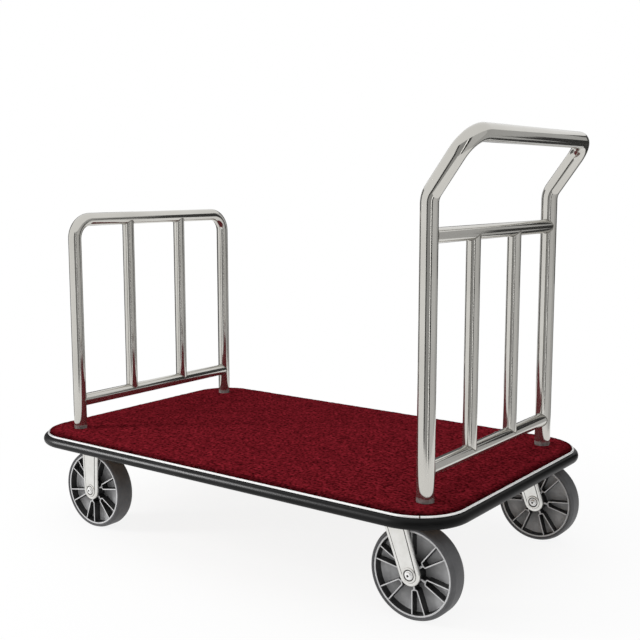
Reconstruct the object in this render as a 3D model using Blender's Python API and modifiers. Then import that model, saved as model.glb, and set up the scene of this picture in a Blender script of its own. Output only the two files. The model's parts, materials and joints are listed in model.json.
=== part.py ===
"""Hotel luggage cart: a carpeted deck on four casters, with a low guard rail at one end and a push handle
at the other.

Metres, +Z up. The floor is z = 0, +X points to the push handle, -Y is the near side,
and the origin lies on the floor below the middle of the deck.
"""

from math import acos, atan2, cos, hypot, pi, radians, sin

import bmesh
import bpy
from mathutils import Matrix, Vector

# Clearances
GAP = 0.0003            # between pieces that touch
RUN_GAP = 0.0005        # round a shaft that turns

# Deck
DECK_LENGTH = 1.092
DECK_WIDTH = 0.664
DECK_CORNER = 0.095
CARPET_THICKNESS = 0.006
BOARD_THICKNESS = 0.012
TRIM_WIDTH = 0.005
TRIM_HEIGHT = 0.0044
TRIM_DROP = 0.004       # the trim lies this far below the carpet's top
BAND_THICKNESS = 0.003
BAND_DROP = 0.0015      # the band stops this far above the bumper's lower edge
BUMPER_REACH = 0.0145   # outside the board's edge
BUMPER_HEIGHT = 0.022
BUMPER_SQUARENESS = 0.55  # of its section: 1 is an ellipse, less is boxier

# Rails below the board
RAIL_WIDTH = 0.030
RAIL_HEIGHT = 0.015
RAIL_WALL = 0.0015
RAIL_TO_PLATE = 0.042   # long rail to the caster plates beside it
CROSS_RAIL_PITCH = 0.300
CROSS_RAILS = 3

# Guard rail, heights above the carpet's top
GUARD_INSET = 0.078     # of its posts from the deck's end
GUARD_RISE = 0.491
GUARD_LOWER_RISE = 0.065
GUARD_TUBE_RADIUS = 0.015
GUARD_BEND = 0.045
GUARD_BAR_SPACING = 0.175

# Push handle, heights above the carpet's top
HANDLE_INSET = 0.069    # of its posts from the deck's end
HANDLE_LOWER_RISE = 0.057
HANDLE_UPPER_RISE = 0.483
HANDLE_BEND_RISE = 0.553
GRIP_RISE = 0.110       # above the bend
GRIP_REACH = 0.080      # beyond the posts
HANDLE_TUBE_RADIUS = 0.017
HANDLE_KNEE_BEND = 0.040
GRIP_BEND = 0.045
HANDLE_BAR_SPACING = 0.175

# Tubes between the posts
CROSS_TUBE_RADIUS = 0.0145
BAR_RADIUS = 0.014
TUBE_WALL = 0.0015

# Posts and their fixings
POST_SIDE_INSET = 0.078  # of every post from the deck's side
POST_PLUG_HEIGHT = 0.022
POST_BOLT_RADIUS = 0.005
POST_BOLT_FLANGE_RADIUS = 0.009
POST_BOLT_FLANGE = 0.002
POST_BOLT_HEAD = 0.006
POST_BOLT_HEX = 0.008   # centre to corner

# Casters
WHEEL_RADIUS = 0.090
TYRE_WIDTH = 0.044
TYRE_DEPTH = 0.008
TYRE_SHOULDER = 0.006
RIM_WIDTH = 0.040
RIM_WALL = 0.004
WEB_THICKNESS = 0.006
HUB_RADIUS = 0.020
HUB_WIDTH = 0.048
RIB_PAIRS = 6
RIB_THICKNESS = 0.0026
RIB_SPREAD = radians(9)
RIB_DEPTH = 0.034
SWIVEL_TRAIL = 0.045
HUB_SIDE_GAP = 0.0015
FORK_SHEET = 0.003
FORK_CLEARANCE = 0.005  # tyre to the swivel fork's crown
FORK_LEG_WIDTH = 0.052
FORK_END_RADIUS = 0.022
FORK_CROWN_CORNER = 0.008
FORK_LEG_SETBACK = 0.012  # top of a swivel leg, behind the kingpin
FORK_LEG_INSET = 0.001    # of a leg's top edge, below the top of the sheet that it joins
PLATE_LENGTH = 0.086
PLATE_WIDTH = 0.085
PLATE_THICKNESS = 0.004
PLATE_CORNER = 0.010
PLATE_BOLT_INSET = 0.012
PLATE_HOLE_RADIUS = 0.0045
PLATE_SIDE_INSET = 0.025          # of a caster plate from the deck's side
FIXED_PLATE_TO_POST_BOLT = 0.0205
SWIVEL_PLATE_TO_POST_BOLT = 0.002
RACE_RADIUS = 0.028
RACE_BORE = 0.012
RACE_HEIGHT = 0.010
KINGPIN_RADIUS = 0.006
KINGPIN_HEAD_RADIUS = 0.010
KINGPIN_HEAD = 0.005
AXLE_RADIUS = 0.005
AXLE_HEAD_RADIUS = 0.010
AXLE_HEAD = 0.005
AXLE_HEAD_CHAMFER = 0.0025
AXLE_NUT_RADIUS = 0.0095
AXLE_NUT = 0.008
SLEEVE_RADIUS = 0.008

# Facets. Counts of the form 4n + 2 put a flat of the wheel on the floor.
WHEEL_STEPS = 30
SMALL_STEPS = 10
CORNER_STEPS = 6
HOLE_TURN = 0.37        # radians, keeps the corners of neighbouring holes off one line
TUBE_BEVEL = 5          # 14 sides
BORE_BEVEL = 4          # 12 sides

# Heights, from the floor up
AXLE_Z = WHEEL_RADIUS
CROWN_Z = 2 * WHEEL_RADIUS + FORK_CLEARANCE
CROWN_TOP = CROWN_Z + FORK_SHEET
RACE_Z = CROWN_TOP + GAP
PLATE_Z = RACE_Z + RACE_HEIGHT + GAP
PLATE_TOP = PLATE_Z + PLATE_THICKNESS
BOARD_Z = PLATE_TOP + GAP
BOARD_TOP = BOARD_Z + BOARD_THICKNESS
CARPET_Z = BOARD_TOP + GAP
DECK_TOP = CARPET_Z + CARPET_THICKNESS
TRIM_TOP = DECK_TOP - TRIM_DROP
TRIM_Z = TRIM_TOP - TRIM_HEIGHT
BUMPER_TOP = TRIM_Z - GAP
BUMPER_Z = BUMPER_TOP - BUMPER_HEIGHT
POST_Z = BOARD_TOP + GAP

# Places in plan
GUARD_X = GUARD_INSET - DECK_LENGTH / 2
HANDLE_X = DECK_LENGTH / 2 - HANDLE_INSET
POST_SPAN = DECK_WIDTH - 2 * POST_SIDE_INSET
CASTER_Y = DECK_WIDTH / 2 - PLATE_SIDE_INSET - PLATE_WIDTH / 2
PLATE_REACH = POST_BOLT_FLANGE_RADIUS + PLATE_LENGTH / 2
FIXED_AXLE_X = GUARD_X + FIXED_PLATE_TO_POST_BOLT + PLATE_REACH
SWIVEL_X = HANDLE_X - SWIVEL_PLATE_TO_POST_BOLT - PLATE_REACH
RAIL_Y = CASTER_Y - PLATE_WIDTH / 2 - RAIL_TO_PLATE - RAIL_WIDTH / 2
FORK_INNER = HUB_WIDTH + 2 * HUB_SIDE_GAP
FORK_OUTER = FORK_INNER + 2 * FORK_SHEET
RIM_RADIUS = WHEEL_RADIUS - TYRE_DEPTH
FLAT = cos(pi / WHEEL_STEPS)  # flat-to-corner ratio of a wheel's outline


def clear_scene():
    for obj in list(bpy.data.objects):
        bpy.data.objects.remove(obj)


def new_collection(name):
    collection = bpy.data.collections.new(name)
    bpy.context.scene.collection.children.link(collection)
    return collection


def new_material(name, colour, metallic, roughness):
    material = bpy.data.materials.new(name)
    material.use_nodes = True
    shader = material.node_tree.nodes["Principled BSDF"]
    shader.inputs["Base Color"].default_value = (*colour, 1.0)
    shader.inputs["Metallic"].default_value = metallic
    shader.inputs["Roughness"].default_value = roughness
    material.diffuse_color = (*colour, 1.0)
    return material


clear_scene()
PARTS = new_collection("luggage_cart")
CUTTERS = new_collection("luggage_cart_cutters")
STAINLESS = new_material("stainless", (0.62, 0.61, 0.58), 1.0, 0.14)
PLATED = new_material("plated_steel", (0.70, 0.69, 0.66), 1.0, 0.32)
STEEL = new_material("painted_steel", (0.05, 0.05, 0.05), 0.3, 0.5)
CARPET = new_material("carpet", (0.16, 0.010, 0.016), 0.0, 0.95)
PLYWOOD = new_material("plywood", (0.45, 0.30, 0.17), 0.0, 0.7)
RUBBER = new_material("bumper_rubber", (0.012, 0.012, 0.012), 0.0, 0.42)
TYRE = new_material("tyre_rubber", (0.075, 0.075, 0.078), 0.0, 0.6)
PLASTIC = new_material("wheel_plastic", (0.22, 0.22, 0.225), 0.0, 0.45)


def add(name, mesh, material, collection=None):
    """A named object for a mesh, among the parts unless another collection is given."""
    obj = bpy.data.objects.new(name, mesh)
    obj.data.materials.clear()
    obj.data.materials.append(material)
    (collection or PARTS).objects.link(obj)
    if collection is CUTTERS:
        obj.hide_render = True
        obj.display_type = "WIRE"
    return obj


def smooth(obj, angle=35):
    obj.data.shade_smooth()
    obj.data.set_sharp_from_angle(angle=radians(angle))
    return obj


def mesh_of_curve(curve):
    """The curve's evaluated mesh, with its caps welded to its sides."""
    guide = bpy.data.objects.new("guide", curve)
    bpy.context.scene.collection.objects.link(guide)
    graph = bpy.context.evaluated_depsgraph_get()
    mesh = bpy.data.meshes.new_from_object(guide.evaluated_get(graph), depsgraph=graph)
    bpy.data.objects.remove(guide)
    work = bmesh.new()
    work.from_mesh(mesh)
    bmesh.ops.remove_doubles(work, verts=work.verts, dist=1e-6)
    bmesh.ops.recalc_face_normals(work, faces=work.faces)
    work.to_mesh(mesh)
    work.free()
    return mesh


def add_spline(curve, points, cyclic):
    spline = curve.splines.new("POLY")
    spline.points.add(len(points) - 1)
    for place, point in zip(spline.points, points):
        place.co = (*Vector(point).to_3d(), 1.0)
    spline.use_cyclic_u = cyclic


def flat_outline(outlines, thickness):
    """A plate of this thickness from z = 0 up. Outlines inside the first one are holes."""
    curve = bpy.data.curves.new("outline", "CURVE")
    curve.dimensions = "2D"
    curve.fill_mode = "BOTH"
    curve.extrude = thickness / 2
    for points in outlines:
        add_spline(curve, points, True)
    mesh = mesh_of_curve(curve)
    mesh.transform(Matrix.Translation((0, 0, thickness / 2)))
    return mesh


def tube_mesh(points, radius, bevel=TUBE_BEVEL):
    """A solid round rod along the points."""
    curve = bpy.data.curves.new("tube", "CURVE")
    curve.dimensions = "3D"
    curve.bevel_depth = radius
    curve.bevel_resolution = bevel
    curve.use_fill_caps = True
    add_spline(curve, points, False)
    return mesh_of_curve(curve)


def boolean(obj, other, operation="DIFFERENCE"):
    modifier = obj.modifiers.new(other.name, "BOOLEAN")
    modifier.operation = operation
    modifier.solver = "EXACT"
    modifier.object = other
    return obj


def turned(name, profile, steps, material, collection=None):
    """A profile of (radius, height) points, top to bottom down its outer side, turned about Z."""
    mesh = bpy.data.meshes.new(name)
    closed = min(radius for radius, height in profile) > 0
    count = len(profile)
    edges = [(i, (i + 1) % count) for i in range(count if closed else count - 1)]
    mesh.from_pydata([(radius, 0, height) for radius, height in profile], edges, [])
    obj = add(name, mesh, material, collection)
    screw = obj.modifiers.new("turn", "SCREW")
    screw.steps = steps
    screw.render_steps = steps
    screw.use_merge_vertices = True
    screw.merge_threshold = 0.00001
    screw.use_smooth_shade = True
    return obj


def circle(radius, steps=SMALL_STEPS, centre=(0, 0)):
    """Corners of a circle whose flats touch the radius."""
    corner = radius / cos(pi / steps)
    angles = [HOLE_TURN + 2 * pi * i / steps for i in range(steps)]
    return [(centre[0] + corner * cos(a), centre[1] + corner * sin(a)) for a in angles]


def rounded_rectangle(length, width, corner):
    points = []
    for turn in range(4):
        quarter = turn * pi / 2
        x = (length / 2 - corner) * (1 if turn in (0, 3) else -1)
        y = (width / 2 - corner) * (1 if turn in (0, 1) else -1)
        for step in range(CORNER_STEPS + 1):
            angle = quarter + step * pi / 2 / CORNER_STEPS
            points.append((x + corner * cos(angle), y + corner * sin(angle)))
    return points


def deck_outline(offset):
    """The deck's rounded rectangle, moved out by an offset."""
    return rounded_rectangle(DECK_LENGTH + 2 * offset, DECK_WIDTH + 2 * offset, DECK_CORNER + offset)


def bent_path(corners, bends):
    """Corners joined by straight runs, with an arc of the given radius at each inner corner."""
    points = [Vector(corners[0])]
    for before, corner, after, bend in zip(corners, corners[1:], corners[2:], bends):
        corner = Vector(corner)
        back = (Vector(before) - corner).normalized()
        ahead = (Vector(after) - corner).normalized()
        half = back.angle(ahead) / 2
        centre = corner + (back + ahead).normalized() * bend / sin(half)
        spoke = corner + back * bend / (sin(half) / cos(half)) - centre
        sweep = pi - 2 * half
        axis = back.cross(ahead)
        steps = max(2, round(CORNER_STEPS * sweep / (pi / 2)))
        for step in range(steps + 1):
            turn = Matrix.Rotation(-sweep * step / steps, 3, axis)
            points.append(centre + turn @ spoke)
    points.append(Vector(corners[-1]))
    return points


def lengthened(points, extra):
    """The same path, longer by extra at both ends."""
    first = points[0] + (points[0] - points[1]).normalized() * extra
    last = points[-1] + (points[-1] - points[-2]).normalized() * extra
    return [first, *points[1:-1], last]


def hollow_tube(name, points, radius, copes=()):
    """A tube with open ends, cut back from the rods that it meets."""
    obj = smooth(add(name, tube_mesh(points, radius), STAINLESS))
    bore_points = lengthened(points, 2 * TUBE_WALL)
    bore = tube_mesh(bore_points, radius - TUBE_WALL, BORE_BEVEL)
    boolean(obj, add(name + "_bore", bore, STAINLESS, CUTTERS))
    for cope in copes:
        boolean(obj, cope)
    return obj


def rod_cutter(name, points, radius):
    return add(name, tube_mesh(points, radius + GAP), STAINLESS, CUTTERS)


def straight(start, end):
    return [Vector(start), Vector(end)]


# Deck

def post_places():
    """Name, place in plan and tube radius of each post."""
    places = []
    for name, x, radius in (
        ("guard", GUARD_X, GUARD_TUBE_RADIUS),
        ("handle", HANDLE_X, HANDLE_TUBE_RADIUS),
    ):
        for side, sign in (("near", -1), ("far", 1)):
            places.append((f"{name}_{side}", x, sign * POST_SPAN / 2, radius))
    return places


def make_deck():
    bolt_hole = POST_BOLT_RADIUS + RUN_GAP
    bolt_holes = [circle(bolt_hole, centre=(x, y)) for _, x, y, _ in post_places()]
    board = add("deck_board", flat_outline([deck_outline(0), *bolt_holes], BOARD_THICKNESS), PLYWOOD)
    board.location.z = BOARD_Z
    post_holes = [circle(radius + GAP, centre=(x, y)) for _, x, y, radius in post_places()]
    carpet = add("carpet", flat_outline([deck_outline(0), *post_holes], CARPET_THICKNESS), CARPET)
    carpet.location.z = CARPET_Z
    trim_rings = [deck_outline(GAP + TRIM_WIDTH), deck_outline(GAP)]
    trim = add("trim_strip", flat_outline(trim_rings, TRIM_HEIGHT), STAINLESS)
    trim.location.z = TRIM_Z
    band_rings = [deck_outline(GAP + BAND_THICKNESS), deck_outline(GAP)]
    band_z = BUMPER_Z + BAND_DROP
    band = add("edge_band", flat_outline(band_rings, TRIM_Z - GAP - band_z), STEEL)
    band.location.z = band_z


def make_bumper():
    """A D-shaped rubber section run round the edge band. The section's -X side faces out of the path."""
    inner = 2 * GAP + BAND_THICKNESS
    reach = BUMPER_REACH - inner
    section = bpy.data.curves.new("bumper_section", "CURVE")
    section.dimensions = "2D"
    bulge = [pi / 2 - pi * step / CORNER_STEPS for step in range(CORNER_STEPS + 1)]
    half = BUMPER_HEIGHT / 2
    points = [(-reach * max(cos(a), 0) ** BUMPER_SQUARENESS, half * sin(a)) for a in bulge]
    add_spline(section, points, True)
    profile = bpy.data.objects.new("bumper_profile", section)
    CUTTERS.objects.link(profile)
    profile.hide_render = True
    path = bpy.data.curves.new("bumper", "CURVE")
    path.dimensions = "2D"
    path.bevel_mode = "OBJECT"
    path.bevel_object = profile
    add_spline(path, deck_outline(inner), True)
    bumper = smooth(add("bumper", mesh_of_curve(path), RUBBER))
    bumper.location.z = BUMPER_Z + half


def rail(name, length):
    """A rectangular tube along X, centred, from z = 0 up, with open ends."""
    def rectangle(inset):
        y, z = RAIL_WIDTH / 2 - inset, RAIL_HEIGHT / 2 - inset
        return [(-y, -z), (y, -z), (y, z), (-y, z)]
    mesh = flat_outline([rectangle(0), rectangle(RAIL_WALL)], length)
    along_x = Matrix.Rotation(pi / 2, 4, "Z") @ Matrix.Rotation(pi / 2, 4, "X")
    mesh.transform(Matrix.Translation((-length / 2, 0, RAIL_HEIGHT / 2)) @ along_x)
    return add(name, mesh, STEEL)


def make_rails():
    rail_z = BOARD_Z - GAP - RAIL_HEIGHT
    for side, sign in (("near", -1), ("far", 1)):
        long_rail = rail(f"long_rail_{side}", DECK_LENGTH)
        long_rail.location = (0, sign * RAIL_Y, rail_z)
    cross_length = 2 * RAIL_Y - RAIL_WIDTH - 2 * GAP
    for number in range(CROSS_RAILS):
        cross = rail(f"cross_rail_{number + 1}", cross_length)
        cross.location = ((number - (CROSS_RAILS - 1) / 2) * CROSS_RAIL_PITCH, 0, rail_z)
        cross.rotation_euler.z = pi / 2


# Guard and handle

def ladder(name, x, lower_z, upper_z, bar_spacing, hoop_cutter, upper_cutter):
    """The lower cross tube, and the two bars that stand on it below the upper tube or hoop."""
    lower_path = straight((x, -POST_SPAN / 2, lower_z), (x, POST_SPAN / 2, lower_z))
    hollow_tube(f"{name}_lower_tube", lower_path, CROSS_TUBE_RADIUS, [hoop_cutter])
    lower_cutter = rod_cutter(f"{name}_lower_cutter", lower_path, CROSS_TUBE_RADIUS)
    for side, sign in (("near", -1), ("far", 1)):
        y = sign * bar_spacing / 2
        bar_path = straight((x, y, lower_z), (x, y, upper_z))
        hollow_tube(f"{name}_bar_{side}", bar_path, BAR_RADIUS, [lower_cutter, upper_cutter])


def make_guard():
    y, top = POST_SPAN / 2, DECK_TOP + GUARD_RISE
    corners = [(GUARD_X, -y, POST_Z), (GUARD_X, -y, top), (GUARD_X, y, top), (GUARD_X, y, POST_Z)]
    path = bent_path(corners, [GUARD_BEND] * 2)
    hollow_tube("guard_hoop", path, GUARD_TUBE_RADIUS)
    cutter = rod_cutter("guard_cutter", path, GUARD_TUBE_RADIUS)
    lower_z = DECK_TOP + GUARD_LOWER_RISE
    ladder("guard", GUARD_X, lower_z, top, GUARD_BAR_SPACING, cutter, cutter)


def make_handle():
    y, knee = POST_SPAN / 2, DECK_TOP + HANDLE_BEND_RISE
    grip_x, grip_z = HANDLE_X + GRIP_REACH, knee + GRIP_RISE
    near = [(HANDLE_X, -y, POST_Z), (HANDLE_X, -y, knee), (grip_x, -y, grip_z)]
    far = [(px, -py, pz) for px, py, pz in reversed(near)]
    path = bent_path(near + far, [HANDLE_KNEE_BEND, GRIP_BEND, GRIP_BEND, HANDLE_KNEE_BEND])
    hollow_tube("handle_hoop", path, HANDLE_TUBE_RADIUS)
    cutter = rod_cutter("handle_cutter", path, HANDLE_TUBE_RADIUS)
    upper_z = DECK_TOP + HANDLE_UPPER_RISE
    upper_path = straight((HANDLE_X, -y, upper_z), (HANDLE_X, y, upper_z))
    hollow_tube("handle_upper_tube", upper_path, CROSS_TUBE_RADIUS, [cutter])
    upper_cutter = rod_cutter("handle_upper_cutter", upper_path, CROSS_TUBE_RADIUS)
    lower_z = DECK_TOP + HANDLE_LOWER_RISE
    ladder("handle", HANDLE_X, lower_z, upper_z, HANDLE_BAR_SPACING, cutter, upper_cutter)


def make_post_fixings():
    """A plug in the foot of each post, and the flange bolt that pulls it down from below the board."""
    bore_flat = cos(pi / (4 + 2 * BORE_BEVEL))
    bolt_bottom = BOARD_Z - GAP
    bolt_top = POST_Z + POST_PLUG_HEIGHT
    for name, x, y, radius in post_places():
        plug_radius = (radius - TUBE_WALL) * bore_flat - GAP
        plug_bore = (POST_BOLT_RADIUS + GAP) / cos(pi / SMALL_STEPS)
        plug_profile = [
            (plug_radius, POST_PLUG_HEIGHT), (plug_radius, 0), (plug_bore, 0), (plug_bore, POST_PLUG_HEIGHT),
        ]
        plug = turned(f"{name}_plug", plug_profile, SMALL_STEPS, PLATED)
        plug.location = (x, y, POST_Z)
        length = bolt_top - bolt_bottom
        profile = [
            (0, length), (POST_BOLT_RADIUS, length), (POST_BOLT_RADIUS, 0), (POST_BOLT_FLANGE_RADIUS, 0),
            (POST_BOLT_FLANGE_RADIUS, -POST_BOLT_FLANGE), (0, -POST_BOLT_FLANGE),
        ]
        bolt = turned(f"{name}_bolt", profile, SMALL_STEPS, PLATED)
        bolt.location = (x, y, bolt_bottom)
        overlap = POST_BOLT_FLANGE / 2
        head_mesh = flat_outline([circle(POST_BOLT_HEX * cos(pi / 6), 6)], POST_BOLT_HEAD + overlap)
        head = add(f"{name}_bolt_hex", head_mesh, PLATED, CUTTERS)
        head.location = (x, y, bolt_bottom - POST_BOLT_FLANGE - POST_BOLT_HEAD)
        boolean(bolt, head, "UNION")


# Casters

def upright(obj, x, y):
    """Lays a piece turned about Z on the axle of a wheel, its top towards the near side."""
    obj.location = (x, y, AXLE_Z)
    obj.rotation_euler.x = pi / 2
    return obj


def make_wheel(name, x, y):
    outer = WHEEL_RADIUS / FLAT
    seat = RIM_RADIUS / FLAT
    half, bead = TYRE_WIDTH / 2, RIM_WIDTH / 2
    shoulder = [pi / 6, pi / 3]
    upper = [
        (outer - TYRE_SHOULDER * (1 - sin(a)), half - TYRE_SHOULDER * (1 - cos(a))) for a in shoulder
    ]
    tread = [(outer, half - TYRE_SHOULDER), (outer, TYRE_SHOULDER - half)]
    side = [(outer - TYRE_SHOULDER, half)]
    lower = [(radius, -height) for radius, height in reversed(side + upper)]
    tyre_profile = [(seat, bead), *side, *upper, *tread, *lower, (seat, -bead)]
    upright(turned(f"{name}_tyre", tyre_profile, WHEEL_STEPS, TYRE), x, y)

    rim = seat - GAP
    bore = (SLEEVE_RADIUS + RUN_GAP) / FLAT
    inner = rim - RIM_WALL
    web, hub = WEB_THICKNESS / 2, HUB_WIDTH / 2
    half_profile = [(inner, -bead), (inner, -web), (HUB_RADIUS, -web), (HUB_RADIUS, -hub), (bore, -hub)]
    mirrored = [(radius, -height) for radius, height in reversed(half_profile)]
    rim_profile = [(rim, bead), (rim, -bead), *half_profile, *mirrored]
    wheel = upright(turned(f"{name}_wheel_centre", rim_profile, WHEEL_STEPS, PLASTIC), x, y)
    ribs = upright(add(f"{name}_ribs", rib_mesh(inner), PLASTIC, CUTTERS), x, y)
    boolean(wheel, ribs, "UNION")


def rib_mesh(rim_inner):
    """Pairs of thin radial ribs, from inside the hub's wall to inside the rim's."""
    work = bmesh.new()
    start, end = HUB_RADIUS - RIM_WALL, rim_inner + RIM_WALL / 2
    middle = Matrix.Translation(((start + end) / 2, 0, 0))
    size = Matrix.Diagonal((end - start, RIB_THICKNESS, RIB_DEPTH, 1))
    for pair in range(RIB_PAIRS):
        for side in (-1, 1):
            angle = pi / RIB_PAIRS + pair * 2 * pi / RIB_PAIRS + side * RIB_SPREAD
            bmesh.ops.create_cube(work, size=1, matrix=Matrix.Rotation(angle, 4, "Z") @ middle @ size)
    mesh = bpy.data.meshes.new("ribs")
    work.to_mesh(mesh)
    work.free()
    return mesh


def make_axle(name, x, y):
    """Bolt, nut and the sleeve that the wheel turns on, between the fork's legs."""
    half = FORK_OUTER / 2 + GAP
    top = half + AXLE_HEAD
    profile = [
        (0, top), (AXLE_HEAD_RADIUS - AXLE_HEAD_CHAMFER, top), (AXLE_HEAD_RADIUS, top - AXLE_HEAD_CHAMFER),
        (AXLE_HEAD_RADIUS, half), (AXLE_RADIUS, half), (AXLE_RADIUS, -half - AXLE_NUT), (0, -half - AXLE_NUT),
    ]
    upright(turned(f"{name}_axle_bolt", profile, SMALL_STEPS, PLATED), x, y)
    bore = AXLE_RADIUS + GAP
    nut_mesh = flat_outline([circle(AXLE_NUT_RADIUS * cos(pi / 6), 6), circle(bore)], AXLE_NUT)
    nut_mesh.transform(Matrix.Translation((0, 0, -half - AXLE_NUT)))
    upright(add(f"{name}_axle_nut", nut_mesh, PLATED), x, y)
    length = FORK_INNER / 2 - GAP
    sleeve_bore = bore / cos(pi / SMALL_STEPS)
    sleeve = [
        (SLEEVE_RADIUS, length), (SLEEVE_RADIUS, -length), (sleeve_bore, -length), (sleeve_bore, length),
    ]
    upright(turned(f"{name}_axle_sleeve", sleeve, SMALL_STEPS, PLATED), x, y)


def leg_outline(top_centre, top, axle):
    """A leg's outline in its own plane: a straight top edge narrowing to a round end about the axle."""
    half = FORK_LEG_WIDTH / 2
    corners = [(top_centre - half, top), (top_centre + half, top)]

    def touch(corner, turn):
        dx, dy = corner[0] - axle[0], corner[1] - axle[1]
        return atan2(dy, dx) + turn * acos(FORK_END_RADIUS / hypot(dx, dy))

    left, right = touch(corners[0], 1), touch(corners[1], -1)
    sweep = (left - right) % (2 * pi)
    steps = 2 * CORNER_STEPS
    angles = [left + (2 * pi - sweep) * step / steps for step in range(steps + 1)]
    round_end = [
        (axle[0] + FORK_END_RADIUS * cos(a), axle[1] + FORK_END_RADIUS * sin(a)) for a in angles
    ]
    return [corners[1], corners[0], *round_end]


def add_legs(fork, x, y, top_centre, top):
    """Joins both legs to a fork's top, and bores them for the axle."""
    axle = (0, AXLE_Z)
    hole = circle(AXLE_RADIUS + GAP, centre=axle)
    for side, sign in (("near", -1), ("far", 1)):
        mesh = flat_outline([leg_outline(top_centre, top, axle), hole], FORK_SHEET)
        mesh.transform(Matrix.Rotation(pi / 2, 4, "X"))
        leg = add(f"{fork.name}_{side}_leg", mesh, PLATED, CUTTERS)
        leg.location = (x, y + sign * (FORK_INNER + FORK_SHEET) / 2 + FORK_SHEET / 2, 0)
        boolean(fork, leg, "UNION")


def plate_outlines():
    """The caster plate's edge and its four bolt holes."""
    x, y = PLATE_LENGTH / 2 - PLATE_BOLT_INSET, PLATE_WIDTH / 2 - PLATE_BOLT_INSET
    holes = [circle(PLATE_HOLE_RADIUS, centre=(sx * x, sy * y)) for sx in (-1, 1) for sy in (-1, 1)]
    return [rounded_rectangle(PLATE_LENGTH, PLATE_WIDTH, PLATE_CORNER), *holes]


def make_fixed_caster(side, y):
    name = f"fixed_{side}"
    fork = add(f"{name}_fork", flat_outline(plate_outlines(), PLATE_THICKNESS), PLATED)
    fork.location = (FIXED_AXLE_X, y, PLATE_Z)
    add_legs(fork, FIXED_AXLE_X, y, 0, PLATE_TOP - FORK_LEG_INSET)
    make_axle(name, FIXED_AXLE_X, y)
    make_wheel(name, FIXED_AXLE_X, y)


def make_swivel_top(name, y):
    head_hole = circle(KINGPIN_HEAD_RADIUS + RUN_GAP)
    plate = add(f"{name}_top_plate", flat_outline([*plate_outlines(), head_hole], PLATE_THICKNESS), PLATED)
    plate.location = (SWIVEL_X, y, PLATE_Z)
    race_profile = [(RACE_RADIUS, RACE_HEIGHT), (RACE_RADIUS, 0), (RACE_BORE, 0), (RACE_BORE, RACE_HEIGHT)]
    race = turned(f"{name}_swivel_race", race_profile, 2 * SMALL_STEPS, PLATED)
    race.location = (SWIVEL_X, y, RACE_Z)
    shank_bottom = CROWN_Z - GAP
    shank_top = RACE_Z + RACE_HEIGHT + GAP
    profile = [
        (0, PLATE_TOP), (KINGPIN_HEAD_RADIUS, PLATE_TOP), (KINGPIN_HEAD_RADIUS, shank_top),
        (KINGPIN_RADIUS, shank_top), (KINGPIN_RADIUS, shank_bottom), (KINGPIN_HEAD_RADIUS, shank_bottom),
        (KINGPIN_HEAD_RADIUS, shank_bottom - KINGPIN_HEAD), (0, shank_bottom - KINGPIN_HEAD),
    ]
    kingpin = turned(f"{name}_kingpin", profile, SMALL_STEPS, PLATED)
    kingpin.location = (SWIVEL_X, y, 0)


def make_swivel_caster(side, y):
    name = f"swivel_{side}"
    make_swivel_top(name, y)
    axle_x = SWIVEL_X + SWIVEL_TRAIL
    back = max(FORK_LEG_SETBACK + FORK_LEG_WIDTH / 2, RACE_RADIUS)
    front = max(FORK_LEG_WIDTH / 2 - FORK_LEG_SETBACK, RACE_RADIUS)
    edge = rounded_rectangle(back + front, FORK_OUTER - FORK_SHEET, FORK_CROWN_CORNER)
    edge = [(px + (back - front) / 2, py) for px, py in edge]
    crown = flat_outline([edge, circle(KINGPIN_RADIUS + RUN_GAP)], FORK_SHEET)
    fork = add(f"{name}_fork", crown, PLATED)
    fork.location = (SWIVEL_X, y, CROWN_Z)
    add_legs(fork, axle_x, y, FORK_LEG_SETBACK - SWIVEL_TRAIL, CROWN_TOP - FORK_LEG_INSET)
    make_axle(name, axle_x, y)
    make_wheel(name, axle_x, y)


def main():
    make_deck()
    make_bumper()
    make_rails()
    make_guard()
    make_handle()
    make_post_fixings()
    for side, y in (("near", -CASTER_Y), ("far", CASTER_Y)):
        make_fixed_caster(side, y)
        make_swivel_caster(side, y)


main()
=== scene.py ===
"""Looks for a hotel luggage cart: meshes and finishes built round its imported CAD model.

Metres, +X along the deck to the push handle, +Y to the far side, +Z up, floor at zero.
"""
import json
from math import acos, atan2, ceil, copysign, cos, pi, radians, sin, sqrt, tan

import bmesh
import bpy
from mathutils import Matrix, Vector, noise

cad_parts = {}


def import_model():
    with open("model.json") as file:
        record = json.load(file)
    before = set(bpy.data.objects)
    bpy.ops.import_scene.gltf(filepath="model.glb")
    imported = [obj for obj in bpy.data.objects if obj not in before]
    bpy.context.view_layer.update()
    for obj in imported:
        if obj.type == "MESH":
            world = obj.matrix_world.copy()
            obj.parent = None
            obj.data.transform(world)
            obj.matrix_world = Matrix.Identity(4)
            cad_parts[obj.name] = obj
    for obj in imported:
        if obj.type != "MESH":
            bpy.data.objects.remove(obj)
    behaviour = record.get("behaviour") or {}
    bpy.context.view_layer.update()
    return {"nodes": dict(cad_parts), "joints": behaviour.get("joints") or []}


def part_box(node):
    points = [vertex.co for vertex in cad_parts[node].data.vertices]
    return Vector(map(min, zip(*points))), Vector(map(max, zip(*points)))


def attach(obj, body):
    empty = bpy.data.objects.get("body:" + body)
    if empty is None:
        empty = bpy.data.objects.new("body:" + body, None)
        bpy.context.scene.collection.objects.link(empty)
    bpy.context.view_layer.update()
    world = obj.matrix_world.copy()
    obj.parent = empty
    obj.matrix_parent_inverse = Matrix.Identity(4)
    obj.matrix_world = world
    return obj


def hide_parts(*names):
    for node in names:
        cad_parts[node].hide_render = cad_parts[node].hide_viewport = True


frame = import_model()


# Sizes and places read from the frame
def span(name):
    low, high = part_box(name)
    return high - low


def middle(name):
    low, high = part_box(name)
    return (low + high) / 2


def joint_place(name):
    return next(Vector(joint["pos_m"]) for joint in frame["joints"] if joint["name"] == name)


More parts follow.
